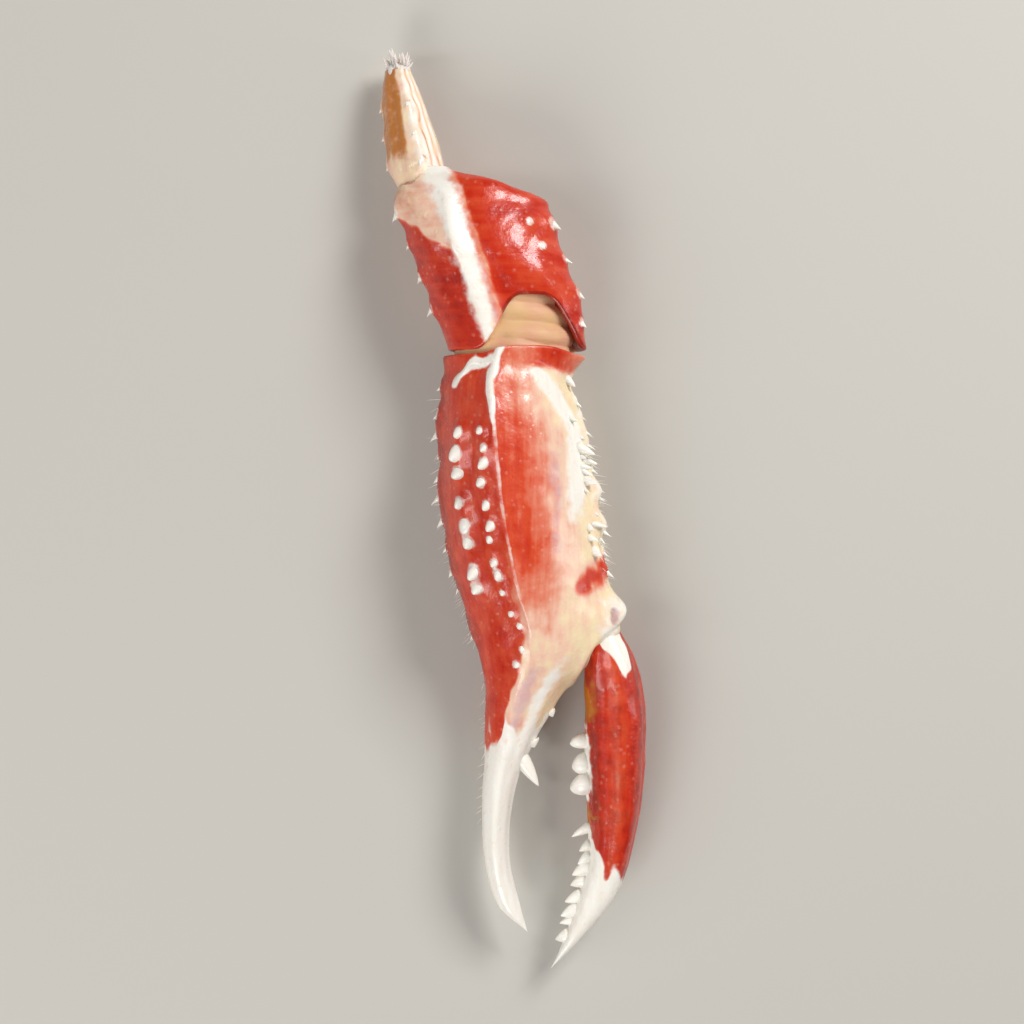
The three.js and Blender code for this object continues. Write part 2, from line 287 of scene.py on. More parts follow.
def boiled_shell():
    """Boiled chitin: thin, hard and wet on top, with red pigment lying cloudy over a cream ground.

    Spines, tips and edges have no pigment and show a streaky ivory white, which also paints a highlight
    streak on the palm.
    A mark of 0.15 starts to show in a few flecks, and one of 0.55 covers the shell.
    Granules and grain are drawn a little coarser than real, so that they show.
    """
    material, tree, place = new_material("boiled_shell")
    flow = add_node(tree, "ShaderNodeAttribute", attribute_name="streaks").outputs["Vector"]
    marks = {
        name: add_node(tree, "ShaderNodeAttribute", attribute_name=name).outputs["Fac"]
        for name in ("tint", "white", *(name for name, _, _ in SHELL_MARKS))
    }
    clouds, flecks, streaks, grain = (
        add_node(tree, "ShaderNodeTexNoise", {"Vector": field, "Scale": 1 / (size * MM), "Detail": detail})
        for field, size, detail in (
            (place, CLOUD_SIZE, 5), (place, FLECK_SIZE, 5), (flow, STREAK_SIZE, 3), (place, GRAIN_SIZE, 3),
        )
    )
    pigment = marks["tint"]
    for pattern, depth in ((clouds, CLOUD_SHARE), (streaks, STREAK_SHARE)):
        uneven = {0: pattern, 1: depth, 2: pigment}
        pigment = add_node(tree, "ShaderNodeMath", uneven, operation="MULTIPLY_ADD")
    middle = (CLOUD_SHARE + STREAK_SHARE) / 2
    pigment = add_node(tree, "ShaderNodeMath", {0: pigment, 1: middle}, operation="SUBTRACT", use_clamp=True)
    colour = add_node(tree, "ShaderNodeValToRGB", {"Fac": pigment})
    stops = colour.color_ramp.elements
    while len(stops) < len(SHELL_TINTS):
        stops.new(0.5)
    for stop, (position, tone) in zip(stops, SHELL_TINTS):
        stop.position, stop.color = position, linear(tone)
    dim, pale = (linear(tone) for tone in BARE_CHITIN_AND_GLINT)
    # This white colours the unpigmented shell and also the painted highlight streak on the palm
    bare_and_glint = add_node(tree, "ShaderNodeMix", {MIX_FACTOR: streaks, MIX_A: dim, MIX_B: pale}, data_type="RGBA")
    tones = [(name, linear(tone), strength) for name, tone, strength in SHELL_MARKS] + [("white", bare_and_glint, 1.0)]
    for name, tone, strength in tones:
        mark = {0: flecks, 1: FLECK_SHARE, 2: marks[name]}
        ragged = add_node(tree, "ShaderNodeMath", mark, operation="MULTIPLY_ADD")
        share = add_node(tree, "ShaderNodeMapRange", {
            "Value": ragged, "From Min": 0.45, "From Max": 0.85, "To Max": strength,
        }, interpolation_type="SMOOTHSTEP")
        mixed = {MIX_FACTOR: share, MIX_A: colour, MIX_B: tone}
        colour = add_node(tree, "ShaderNodeMix", mixed, data_type="RGBA")
    cells = add_node(tree, "ShaderNodeTexVoronoi", {"Vector": place, "Scale": 1 / (GRANULE_SIZE * MM)})
    granules = add_node(tree, "ShaderNodeMapRange", {
        "Value": cells, "From Min": 0.05, "From Max": 0.3, "To Min": 1.0, "To Max": 0.0,
    }, interpolation_type="SMOOTHSTEP")
    paler = add_node(tree, "ShaderNodeMath", {0: granules, 1: 0.14}, operation="MULTIPLY")
    mixed = {MIX_FACTOR: paler, MIX_A: colour, MIX_B: linear("#f3c4ac")}
    colour = add_node(tree, "ShaderNodeMix", mixed, data_type="RGBA")

    ribbed = add_node(tree, "ShaderNodeMath", {0: streaks, 1: 0.5, 2: grain}, operation="MULTIPLY_ADD")
    rough = add_node(tree, "ShaderNodeMath", {0: granules, 1: 0.7, 2: ribbed}, operation="MULTIPLY_ADD")
    bump = add_node(tree, "ShaderNodeBump", {"Height": rough, "Strength": 0.4, "Distance": 0.15 * MM})
    skin = add_node(tree, "ShaderNodeBsdfPrincipled", {
        "Base Color": colour,
        "Roughness": add_node(tree, "ShaderNodeMapRange", {"Value": grain, "To Min": 0.2, "To Max": 0.42}),
        "Specular IOR Level": 0.4,
        "Subsurface Weight": 0.12,
        "Subsurface Radius": (1.0, 0.35, 0.2),
        "Subsurface Scale": 1.5 * MM,
        "Coat Weight": 0.3,
        "Coat Roughness": 0.1,
        "Normal": bump,
    })
    add_node(tree, "ShaderNodeOutputMaterial", {"Surface": skin})
    return material


BOILED_SHELL = boiled_shell()
finger = Shell(
    node="movable_finger",
    outline=[
        (0, -1, -1, 0.45, 0.45),
        (0.08, -0.765, -0.49, 0.32, 0.63),
        (0.19, -0.525, 0.07, 0.24, 0.76),
        (0.29, -0.37, 0.315, 0.2, 0.86),
        (0.425, -0.37, 0.485, 0.16, 0.98),
        (0.565, -0.42, 0.555, 0.14, 1.06),
        (0.69, -0.46, 0.535, 0.14, 1.1),
        (0.8, -0.47, 0.36, 0.2, 1.04),
        (0.9, -0.5, 0, 0.4, 0.9),
        (1, -0.5, -0.3, 0.55, 0.74),
    ],
    x=13.9,
    width=8.6,
    height=10,
    squareness=2,
    ridges=[
        Ridge(60, 0.06, 20, 0.1, 0.4),
        Ridge(320, 0.05, 20, 0.1, 0.4),
        Ridge(100, -0.06, 11, 0.15, 0.35),
        Ridge(22, -0.05, 12, 0.15, 0.35),
        Ridge(187, 0.12, 13, 0.68, 0.5),
    ],
)


def finger_relief(share, degrees, places):
    """Slight unevenness and long ribs that die away towards the tip"""
    uneven = 0.1 * unevenness(places, 2.6) + 0.05 * unevenness(places, 0.8, 4)
    return uneven * smoothstep(0.02, 0.25, share)


def finger_marks(share, degrees, places):
    """Red with painted light along the top and darker margins, partly its own duller red and partly painted
    shade of its round sides, white at the tip, the hinge and the blunt teeth, and amber between them
    """
    turn = from_below(degrees)
    inner = band(turn, 180, 62)
    bleached = 0.232 + 0.13 * inner + 0.035 * unevenness(places, 1.1, 4) + 0.03 * unevenness(places, 2.5)
    tip = smoothstep(bleached + 0.03, bleached - 0.03, share)
    tongue = (share - 0.73) / 0.14 - turn_between(turn, 68) / 52 + 0.15 * unevenness(places, 1.5, 2)
    # streak is painted light along the top of the round finger, and margins and shade are painted shade on
    # its sides and inner edge
    streak = band(turn, 88, 17) + 0.6 * band(turn, 330, 14)
    margins = 0.4 * band(turn, 142, 28) + 0.38 * band(turn, 38, 24)
    shade = np.maximum(margins, 0.36 * band(turn, 195, 32))
    along = share + 0.05 * unevenness(places, 1.4)
    crotch = within(along, 0.6, 0.66, 0.69, 0.8)
    notch = 0.8 * bell(along - 0.4, 0.022)
    tooth_bed = band(turn, 175, 21) * within(along, 0.41, 0.49, 0.57, 0.65)
    return {
        "tint": 0.84 - 0.2 * streak - 0.25 * band(turn, 270, 50),
        "white": np.maximum.reduce((tip, smoothstep(0, 0.3, tongue), tooth_bed)),
        "amber": 0.75 * band(turn, 170, 46) * np.maximum(crotch, notch),
        # dark holds the finger's own duller red everywhere, deepened by the painted shade on its sides
        "dark": np.maximum(0.25, shade * smoothstep(0.3, 0.4, share)),
    }


ALONG_STREAKS = (1, 0.08, 1)
finger_shell = shell_piece(
    "finger_shell", finger, 260, 128, BOILED_SHELL, finger_relief, finger_marks, ALONG_STREAKS,
)
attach(finger_shell, "root")
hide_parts("movable_finger")

# Teeth of the movable finger
# Three blunt teeth and a narrow one stand on the inner edge, and small saw teeth follow to the tip.
# They are bare chitin without pigment, grown out of the finger.


@dataclass
class Row:
    """A row of knobs, spines or teeth: its direction, its two ends as shares of the shell, and their size"""
    degrees: float
    start: float
    end: float
    count: int
    radius: float
    height: float
    tint: float = 1.0


# Grown knobs, spines and teeth vary between these shares of their row's size.
SMALLEST, LARGEST = 0.72, 1.25


def row_spots(rows, share_jitter=0.008, turn_jitter=4.0, seed=7):
    """Share, direction, radius, height and tint of all in the rows, a little uneven as grown ones are"""
    chance = np.random.default_rng(seed)
    spots = []
    for row in rows:
        for share in np.linspace(row.start, row.end, row.count):
            size = chance.uniform(SMALLEST, LARGEST)
            shift, turn = chance.uniform(-1, 1, 2) * (share_jitter, turn_jitter)
            spots.append((share + shift, row.degrees + turn, row.radius * size, row.height * size, row.tint))
    return np.array(spots)


def outward_on(shell, share, degrees):
    """Directions straight out of a shell"""
    along = shell.at(share + 0.01, degrees) - shell.at(share - 0.01, degrees)
    outward = np.cross(along, shell.at(share, degrees + 1) - shell.at(share, degrees - 1))
    return outward / np.linalg.norm(outward, axis=1, keepdims=True)


def spine_tree():
    """Grows one rounded spine on every root point, turned and sized by the root's own attributes.

    Blunt 1 and Hollow 1 give a cone, Blunt 2 and Hollow 0.5 a dome, and a larger Hollow a thin thorn.
    """
    tree = bpy.data.node_groups.new("spine_rows", "GeometryNodeTree")
    for name, kind in (
        ("Roots", "Geometry"), ("Sides", "Int"), ("Rings", "Int"), ("Blunt", "Float"), ("Hollow", "Float"),
        ("Bend", "Float"), ("White From", "Float"), ("White", "Float"), ("Uneven", "Float"), ("Seed", "Int"),
        ("Finish", "Material"),
    ):
        tree.interface.new_socket(name, in_out="INPUT", socket_type="NodeSocket" + kind)
    tree.interface.new_socket("Spines", in_out="OUTPUT", socket_type="NodeSocketGeometry")
    given = add_node(tree, "NodeGroupInput").outputs

    tube = add_node(tree, "GeometryNodeMeshCone", {
        "Vertices": given["Sides"], "Side Segments": given["Rings"],
        "Radius Top": 1.0, "Radius Bottom": 1.0, "Depth": 1.0,
    }, fill_type="TRIANGLE_FAN")
    place = add_node(tree, "GeometryNodeInputPosition")
    part = add_node(tree, "ShaderNodeSeparateXYZ", {"Vector": place}).outputs
    below_top = add_node(tree, "ShaderNodeMath", {0: 1.0, 1: part["Z"]}, operation="SUBTRACT")
    squared = add_node(tree, "ShaderNodeMath", {0: below_top, 1: 2.0}, operation="POWER")
    height = add_node(tree, "ShaderNodeMath", {0: 1.0, 1: squared}, operation="SUBTRACT")
    narrowing = add_node(tree, "ShaderNodeMath", {0: height, 1: given["Blunt"]}, operation="POWER")
    rest = add_node(tree, "ShaderNodeMath", {0: 1.0, 1: narrowing}, operation="SUBTRACT", use_clamp=True)
    girth = add_node(tree, "ShaderNodeMath", {0: rest, 1: given["Hollow"]}, operation="POWER")
    bow = add_node(tree, "ShaderNodeMath", {0: height, 1: 2.0}, operation="POWER")
    bent = add_node(tree, "ShaderNodeMath", {0: given["Bend"], 1: bow}, operation="MULTIPLY")
    shaped = add_node(tree, "ShaderNodeCombineXYZ", {
        "X": add_node(tree, "ShaderNodeMath", {0: part["X"], 1: girth, 2: bent}, operation="MULTIPLY_ADD"),
        "Y": add_node(tree, "ShaderNodeMath", {0: part["Y"], 1: girth}, operation="MULTIPLY"),
        "Z": height,
    })
    spine = add_node(tree, "GeometryNodeSetPosition", {"Geometry": tube, "Position": shaped})
    spine = add_node(tree, "GeometryNodeMergeByDistance", {"Geometry": spine, "Distance": 0.001})
    standing = add_node(tree, "ShaderNodeSeparateXYZ", {"Vector": place}).outputs["Z"]
    bleach = add_node(tree, "ShaderNodeMapRange", {
        "Value": standing, "From Min": given["White From"], "From Max": 0.8, "To Max": given["White"],
    })
    spine = add_node(tree, "GeometryNodeStoreNamedAttribute", {
        "Geometry": spine, "Name": "white", "Value": bleach,
    }, data_type="FLOAT", domain="POINT")

    root = {
        name: add_node(tree, "GeometryNodeInputNamedAttribute", {"Name": name}, data_type=kind)
        for name, kind in (("lean", "FLOAT_VECTOR"), ("radius", "FLOAT"), ("height", "FLOAT"))
    }
    upright = add_node(tree, "FunctionNodeAlignRotationToVector", {"Vector": root["lean"]}, axis="Z")
    turned = add_node(tree, "FunctionNodeAlignRotationToVector", {
        "Rotation": upright, "Vector": (0, -1, 0),
    }, axis="X", pivot_axis="Z")
    chance = add_node(tree, "FunctionNodeRandomValue", {
        "Min": add_node(tree, "ShaderNodeMath", {0: 1.0, 1: given["Uneven"]}, operation="SUBTRACT"),
        "Max": add_node(tree, "ShaderNodeMath", {0: 1.0, 1: given["Uneven"]}, operation="ADD"),
        "Seed": given["Seed"],
    }, data_type="FLOAT_VECTOR")
    size = add_node(tree, "ShaderNodeCombineXYZ", {
        "X": root["radius"], "Y": root["radius"], "Z": root["height"],
    })
    grown = add_node(tree, "GeometryNodeInstanceOnPoints", {
        "Points": given["Roots"], "Instance": spine, "Rotation": turned,
        "Scale": add_node(tree, "ShaderNodeVectorMath", {0: size, 1: chance}, operation="MULTIPLY"),
    })
    real = add_node(tree, "GeometryNodeRealizeInstances", {"Geometry": grown})
    smooth = add_node(tree, "GeometryNodeSetShadeSmooth", {"Geometry": real})
    painted = add_node(tree, "GeometryNodeSetMaterial", {"Geometry": smooth, "Material": given["Finish"]})
    add_node(tree, "NodeGroupOutput", {"Spines": painted})
    return tree


def grown_piece(name, roots, tree, inputs):
    """Runs a tree over its roots and keeps the result as a plain mesh object"""
    piece = new_object(name, roots)
    modifier = piece.modifiers.new("grow", "NODES")
    modifier.node_group = tree
    for socket in tree.interface.items_tree:
        if socket.name in inputs:
            modifier[socket.identifier] = inputs[socket.name]
    grown = bpy.data.meshes.new_from_object(piece.evaluated_get(bpy.context.evaluated_depsgraph_get()))
    piece.modifiers.remove(modifier)
    piece.data = grown
    grown.name = name
    bpy.data.meshes.remove(roots)
    return piece


SPINE_TREE = spine_tree()
# Share of a spine's height that is sunk in its shell
SINK = 0.3


def spine_piece(name, shell, spots, forward, inputs, splay=0.0):
    """Mesh object of spines on a shell, sunk a little at the root.

    They lean forward towards the fingertips, and splay sets how far each leans its own way.
    """
    share, degrees, radius, height, tint = spots.T
    own_way = np.random.default_rng(inputs["Seed"]).normal(0, 1, (len(spots), 3))
    lean = outward_on(shell, share, degrees) + (0, -forward, 0) + splay * own_way
    lean /= np.linalg.norm(lean, axis=1, keepdims=True)
    roots = shell.at(share, degrees) - lean * (height * SINK)[:, None]
    mesh = bpy.data.meshes.new(name + "_roots")
    mesh.from_pydata((roots * MM).tolist(), [], [])
    for mark, kind, field, values in (
        ("lean", "FLOAT_VECTOR", "vector", lean),
        ("radius", "FLOAT", "value", radius * MM),
        ("height", "FLOAT", "value", height * (1 + SINK) * MM),
        ("tint", "FLOAT", "value", tint),
    ):
        mesh.attributes.new(mark, kind, "POINT").data.foreach_set(field, values.ravel().astype(np.float32))
    return grown_piece(name, mesh, SPINE_TREE, inputs)


TOOTH = {
    "Sides": 16, "Rings": 8, "Blunt": 1.5, "Hollow": 0.8, "Bend": 0.3, "White From": -0.6, "White": 1.0,
    "Uneven": 0.12, "Seed": 5, "Finish": BOILED_SHELL,
}
BLUNT_TOOTH = {**TOOTH, "Blunt": 2.6, "Hollow": 0.62, "Bend": 0.15}
SAW_ROWS = (Row(185, 0.355, 0.355, 1, 0.95, 3.0, 0.0), Row(184, 0.085, 0.315, 8, 1.2, 2.0, 0.0))
BLUNT_ROWS = (Row(184, 0.472, 0.583, 3, 1.75, 2.6, 0.0),)
finger_saw_teeth = spine_piece("finger_saw_teeth", finger, row_spots(SAW_ROWS), 0.45, TOOTH)
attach(finger_saw_teeth, "root")
blunt_spots = row_spots(BLUNT_ROWS, share_jitter=0.003, turn_jitter=1.0)
finger_blunt_teeth = spine_piece("finger_blunt_teeth", finger, blunt_spots, 0.15, BLUNT_TOOTH)
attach(finger_blunt_teeth, "root")

# Palm and fixed finger
# The hand of the claw is one stiff shell of chitin that boiling has turned red, pink and cream.
# A keel runs along its top, a white boss covers the hinge, and it narrows into the white fixed finger.
palm = Shell(
    node="palm",
    outline=[
        (0, 0.02, 0.02, 0.29, 0.29),
        (0.045, -0.15, -0.03, 0.235, 0.37),
        (0.13, -0.235, -0.095, 0.19, 0.475),
        (0.225, -0.25, -0.08, 0.15, 0.54),
        (0.31, -0.235, 0.005, 0.115, 0.58),
        (0.425, -0.23, 0.23, 0.07, 0.68),
        (0.475, -0.255, 0.42, 0.045, 0.755),
        (0.53, -0.3, 0.515, 0.025, 0.83),
        (0.6, -0.375, 0.465, -0.005, 0.91),
        (0.725, -0.46, 0.405, -0.06, 0.99),
        (0.85, -0.475, 0.33, -0.06, 1),
        (0.945, -0.465, 0.26, -0.01, 0.95),
        (0.975, -0.455, 0.28, 0.03, 0.91),
        (1, -0.465, 0.34, 0.05, 0.91),
    ],
    x=1.4,
    width=24,
    height=17.2,
    squareness=1.8,
    ridges=[
        Ridge(103, 0.1, 14, 0.3, 0.65),
        Ridge(103, 0.03, 4, 0.4, 0.6),
        Ridge(88, -0.015, 8, 0.4, 0.65),
        Ridge(195, 0.06, 15, 0.3, 0.65),
        Ridge(0, 0.05, 15, 0.3, 0.65),
        Ridge(315, 0.05, 15, 0.3, 0.65),
        Ridge(225, 0.05, 15, 0.3, 0.65),
        Ridge(0, 0.14, 16, 0.46, 0.36),
        Ridge(70, -0.06, 14, 0.46, 0.36),
    ],
    arch=1.1,
)
KEEL_KNOBS = Row(117, 0.62, 0.87, 9, 0.9, 1.15, 0.5)
KEEL_GRAINS = Row(117, 0.47, 0.6, 5, 0.6, 0.7, 0.8)
FACE_KNOBS = Row(144, 0.6, 0.87, 8, 1.15, 1.4, 0.5)
LEFT_SPINES = Row(192, 0.52, 0.95, 12, 1.1, 1.9)
RIGHT_SPINES = Row(3, 0.64, 0.93, 11, 0.9, 2.0, 0.1)
LOW_RIGHT_KNOBS = Row(326, 0.64, 0.93, 8, 1.0, 1.1, 0.3)
LOW_LEFT_KNOBS = Row(216, 0.6, 0.93, 9, 1.0, 1.1, 0.8)
PALM_KNOB_SPOTS = row_spots((KEEL_KNOBS, KEEL_GRAINS, FACE_KNOBS, LOW_RIGHT_KNOBS, LOW_LEFT_KNOBS))
PALM_SPINE_SPOTS = row_spots((LEFT_SPINES, RIGHT_SPINES))
# Spots on the palm, as share of its length, direction and radius
HINGE_BOSS, HINGE_RIM = (0.56, 8, 3.4), (0.532, 16, 2.6)
HINGE_SLIT = ((0.544, 16, 0.55), (0.552, 15, 0.6), (0.56, 14, 0.55))
RED_BLOTCH = ((0.603, 38, 1.1), (0.614, 28, 1.6), (0.626, 16, 1.7), (0.64, 6, 1.4))
AMBER_SPOT = (0.44, 10, 3.0)
HINGE_BOSS_HEIGHT, HINGE_SLIT_DEPTH, KEEL_FORK_HEIGHT = 2.0, 0.6, 0.25
# Rim and groove of the finger's socket, as height, distance in the finger's half widths and spread
SOCKET_RINGS = ((0.4, 1.45, 0.2), (-0.6, 1.05, 0.15))
MOUND_SPREAD, MOUND_RISE = 1.6, 0.4
PALM_TINT_TURNS = (-90, -45, 0, 20, 45, 64, 82, 95, 101, 108, 185, 215, 250, 270)
PALM_TINTS = (0.4, 0.28, 0.02, 0.05, 0.18, 0.4, 0.62, 0.68, 0.64, 0.72, 0.77, 0.74, 0.5, 0.4)


def swellings(shell, spots, places):
    """Low mounds that carry the knobs, as heights at the given places"""
    share, degrees, radius, height, _ = spots.T
    heights = np.zeros(places.shape[:-1])
    for middle, wide, high in zip(shell.at(share, degrees), radius * MOUND_SPREAD, height * MOUND_RISE):
        heights += high * bell(np.linalg.norm(places - middle, axis=-1), wide)
    return heights


def halos(shell, spots, places):
    """Paler rings round the knobs, 1 under them and gone a little outside"""
    share, degrees, radius, _, _ = spots.T
    rings = np.zeros(places.shape[:-1])
    for middle, wide in zip(shell.at(share, degrees), radius):
        away = np.linalg.norm(places - middle, axis=-1)
        rings = np.maximum(rings, smoothstep(1.4 * wide, 0.8 * wide, away))
    return rings


def near_spot(shell, share, degrees, radius, places):
    """1 at one spot of a shell, fading out over the radius"""
    return bell(np.linalg.norm(places - shell.at(share, degrees), axis=-1), radius)


def socket_relief(places):
    """Groove and raised rim that the palm forms round the movable finger's root"""
    share = (places[..., 1] - finger.start) / finger.length
    edges = outline_at(finger.outline, np.clip(share, 0, 1).ravel())
    left, right, bottom, top = edges.reshape(4, *share.shape)
    half_width, half_height = (np.maximum(size / 2, 0.01) for size in (right - left, top - bottom))
    across = (places[..., 0] - finger.x) / finger.width - (left + right) / 2
    up = places[..., 2] / finger.height - (bottom + top) / 2
    reach = np.hypot(across / half_width, up / half_height)
    rings = sum(height * bell(reach - middle, spread) for height, middle, spread in SOCKET_RINGS)
    return rings * within(share, 0.6, 0.68, 0.9, 0.97)


def keel_fork(share, degrees, places):
    """The keel's end at the wrist, where it thickens and forks, with one arm along the rim to the left"""
    turn = degrees + 3 * unevenness(places, 2.4)
    stem_width = 2.2 + 3 * smoothstep(0.88, 0.99, share)
    stem = band(turn, 104, stem_width) * smoothstep(0.83, 0.92, share)
    hooked = 0.986 - 0.03 * smoothstep(130, 152, turn) + 0.004 * unevenness(places, 1.6)
    arm_along_rim = bell(share - hooked, 0.01) * within(turn, 98, 104, 148, 160)
    return np.maximum(stem, arm_along_rim)


def hinge_slit(places):
    """1 in the narrow slit on top of the hinge boss"""
    return np.clip(sum(near_spot(palm, *spot, places) for spot in HINGE_SLIT), 0, 1)


def palm_relief(share, degrees, places):
    """Mounds under the knobs, the hinge boss and its slit, the keel's fork, the socket and unevenness"""
    boss = HINGE_BOSS_HEIGHT * near_spot(palm, *HINGE_BOSS, places)
    slit = HINGE_SLIT_DEPTH * hinge_slit(places)
    mounds = swellings(palm, PALM_KNOB_SPOTS, places) + swellings(palm, PALM_SPINE_SPOTS, places)
    uneven = 0.16 * unevenness(places, 4) + 0.06 * unevenness(places, 1.6)
    fork = KEEL_FORK_HEIGHT * keel_fork(share, degrees, places)
    return mounds + boss - slit + fork + socket_relief(places) + uneven * smoothstep(0.05, 0.5, share)


def palm_tint(share, turn, left_face):
    """Pigment that is red on the left face, and fades over the top to cream and towards the fingers"""
    grown = np.maximum(smoothstep(0.46, 0.7, share), left_face)
    tint = np.interp(turn, PALM_TINT_TURNS, PALM_TINTS) * (0.25 + 0.75 * grown)
    return tint - 0.16 * smoothstep(0.84, 0.95, share) * smoothstep(102, 92, turn)


def painted_palm_glint(share, turn, places):
    """A painted highlight as a white streak along the palm's right side, and a painted mauve shade to the
    left of it
    """
    middle = 8.6 - 5.4 * smoothstep(0.86, 0.98, share) + 0.5 * unevenness(places, 2.5)
    aside = places[..., 0] - middle
    streak = 0.72 * bell(aside, 1.6) * within(turn, 0, 20, 100, 120) * within(share, 0.66, 0.78, 0.96, 0.98)
    shade = 0.36 * bell(aside + 2.8, 1.1) * smoothstep(20, 35, turn) * within(share, 0.6, 0.68, 0.82, 0.9)
    return streak, shade


def palm_marks(share, degrees, places):
    """Red left face, pink top, cream right edge, white finger, unpigmented ridges, one red blotch, and
    painted highlight and shade
    """
    turn = from_below(degrees)
    wander = turn + 5 * unevenness(places, 2.2)
    left_edge = 104 + 4 * smoothstep(0.7, 0.5, share)
    left_face = smoothstep(left_edge, left_edge + 5, wander) * smoothstep(255, 225, turn)
    # low_left is painted shade on the left face, darker where the face turns under
    low_left = left_face * smoothstep(142, 192, turn) * smoothstep(0.35, 0.5, share)
    blotch = sum(near_spot(palm, *spot, places) for spot in RED_BLOTCH)
    blotch = np.clip(blotch * (1 + 0.6 * unevenness(places, 1.2)), 0, 1)
    rim_band = smoothstep(0.962, 0.978, share) * band(turn, 45, 48)
    bleached = 0.35 - 0.04 * left_face + 0.04 * unevenness(places, 1.1, 4) + 0.03 * unevenness(places, 2.5)
    tip = smoothstep(bleached + 0.05, bleached - 0.03, share)
    inner_edge = 0.55 * band(turn, 58, 16) * smoothstep(0.52, 0.43, share)
    right_edge = 0.28 * band(turn, 6, 12) * smoothstep(0.55, 0.7, share)
    # A painted highlight streak, which goes into the white, and a painted shade beside it, which goes into
    # the mauve
    streak, shade = painted_palm_glint(share, turn, places)
    keel = 0.36 * band(turn, 102.5, 1.8) * smoothstep(0.48, 0.66, share)
    fork = keel_fork(share, degrees, places)
    boss, slit = near_spot(palm, *HINGE_BOSS, places), hinge_slit(places)
    hinge = 0.5 * np.maximum(boss, near_spot(palm, *HINGE_RIM, places))
    knobs = 0.36 * np.maximum(halos(palm, PALM_KNOB_SPOTS, places), halos(palm, PALM_SPINE_SPOTS, places))
    # The white gathers the unpigmented parts and the painted highlight streak
    bare_and_glint = np.maximum.reduce((tip, inner_edge, right_edge, streak, keel, fork, hinge, knobs))
    lilac = 0.5 * band(turn, 88, 15) * within(share, 0.3, 0.36, 0.44, 0.5)
    tint = palm_tint(share, turn, left_face)
    return {
        "tint": np.maximum.reduce((tint, 0.8 * blotch, 0.76 * rim_band)) * (1 - 0.6 * boss),
        "white": bare_and_glint * (1 - blotch) * (1 - 0.95 * rim_band) * (1 - 0.6 * slit),
        "amber": 0.22 * near_spot(palm, *AMBER_SPOT, places),
        "mauve": np.maximum.reduce((lilac, 0.7 * slit, 0.25 * boss, shade)),
        "dark": 0.42 * low_left + 0.3 * slit,
    }


ROLLED_LIP = ((0.985, 0.22), (0.955, 0.3), (0.92, 0.1), (0.87, -0.5), (0.8, -2.0))
palm_shell = shell_piece(
    "palm_shell", palm, 300, 240, BOILED_SHELL, palm_relief, palm_marks, ALONG_STREAKS, far_lip=ROLLED_LIP,
)
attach(palm_shell, "root")
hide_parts("palm")

# Knobs and spines of the palm
# White rounded knobs stand in rows beside the keel, thorns line the two edges, and thick white spines
# crowd on the cream edge. All are bare chitin that grows out of the shell and leans to the fingertips.
KNOB = {
    "Sides": 18, "Rings": 8, "Blunt": 1.9, "Hollow": 0.65, "Bend": 0.3, "White From": -0.1, "White": 1.0,
    "Uneven": 0.25, "Seed": 3, "Finish": BOILED_SHELL,
}
THORN = {
    "Sides": 14, "Rings": 8, "Blunt": 1.1, "Hollow": 1.25, "Bend": 0.45, "White From": 0.1, "White": 1.0,
    "Uneven": 0.12, "Seed": 4, "Finish": BOILED_SHELL,
}
palm_knobs = spine_piece("palm_knobs", palm, PALM_KNOB_SPOTS, 0.3, KNOB)
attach(palm_knobs, "root")
palm_spines = spine_piece("palm_spines", palm, PALM_SPINE_SPOTS, 0.5, THORN)
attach(palm_spines, "root")
EDGE_ROWS = (
    Row(13, 0.672, 0.716, 5, 0.7, 1.7, 0.0),
    Row(12, 0.735, 0.765, 2, 0.5, 1.0, 0.0),
    Row(13, 0.785, 0.84, 6, 0.75, 1.8, 0.0),
    Row(12, 0.865, 0.9, 2, 0.5, 1.0, 0.0),
    Row(8, 0.952, 0.952, 1, 1.1, 2.6, 0.0),
)
EDGE_SPINE = {**THORN, "Blunt": 1.4, "Hollow": 0.9, "White From": -0.6, "Uneven": 0.25}
edge_spots = row_spots(EDGE_ROWS, turn_jitter=7.0, seed=31)
edge_spines = spine_piece("edge_spines", palm, edge_spots, 0.25, EDGE_SPINE, splay=0.18)
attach(edge_spines, "root")

# Bristles of the palm
# Short stiff hairs stand in tufts along the two edges and on the fixed finger's outer side.
# They are pale, springy chitin rooted in pits, and are drawn thicker than real so that they show.
BRISTLE = {
    "Sides": 4, "Rings": 4, "Blunt": 1.2, "Hollow": 0.7, "Bend": 1.5, "White From": -0.5, "White": 0.9,
    "Uneven": 0.3, "Seed": 9, "Finish": BOILED_SHELL,
}
TUFT_ROWS = (
    Row(4, 0.62, 0.86, 60, 0.07, 1.8, 0.1),
    Row(-8, 0.62, 0.9, 50, 0.07, 1.7, 0.1),
    Row(188, 0.5, 0.93, 70, 0.07, 1.6, 0.2),
    Row(182, 0.2, 0.45, 26, 0.06, 1.0, 0.1),
)
bristle_spots = row_spots(TUFT_ROWS, share_jitter=0.012, turn_jitter=7.0, seed=12)
palm_bristles = spine_piece("palm_bristles", palm, bristle_spots, 0.7, BRISTLE, splay=0.3)
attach(palm_bristles, "root")

# Teeth of the fixed finger
# One long white tooth and some low ones stand on the inner edge, where the pincer bites.
# They are bare chitin without pigment, grown out of the finger.
FIXED_FINGER_ROWS = (Row(0, 0.29, 0.29, 1, 1.35, 4.3, 0.0), Row(0, 0.335, 0.38, 2, 1.1, 0.9, 0.0))
fixed_finger_teeth = spine_piece("fixed_finger_teeth", palm, row_spots(FIXED_FINGER_ROWS), 0.8, TOOTH)
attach(fixed_finger_teeth, "root")

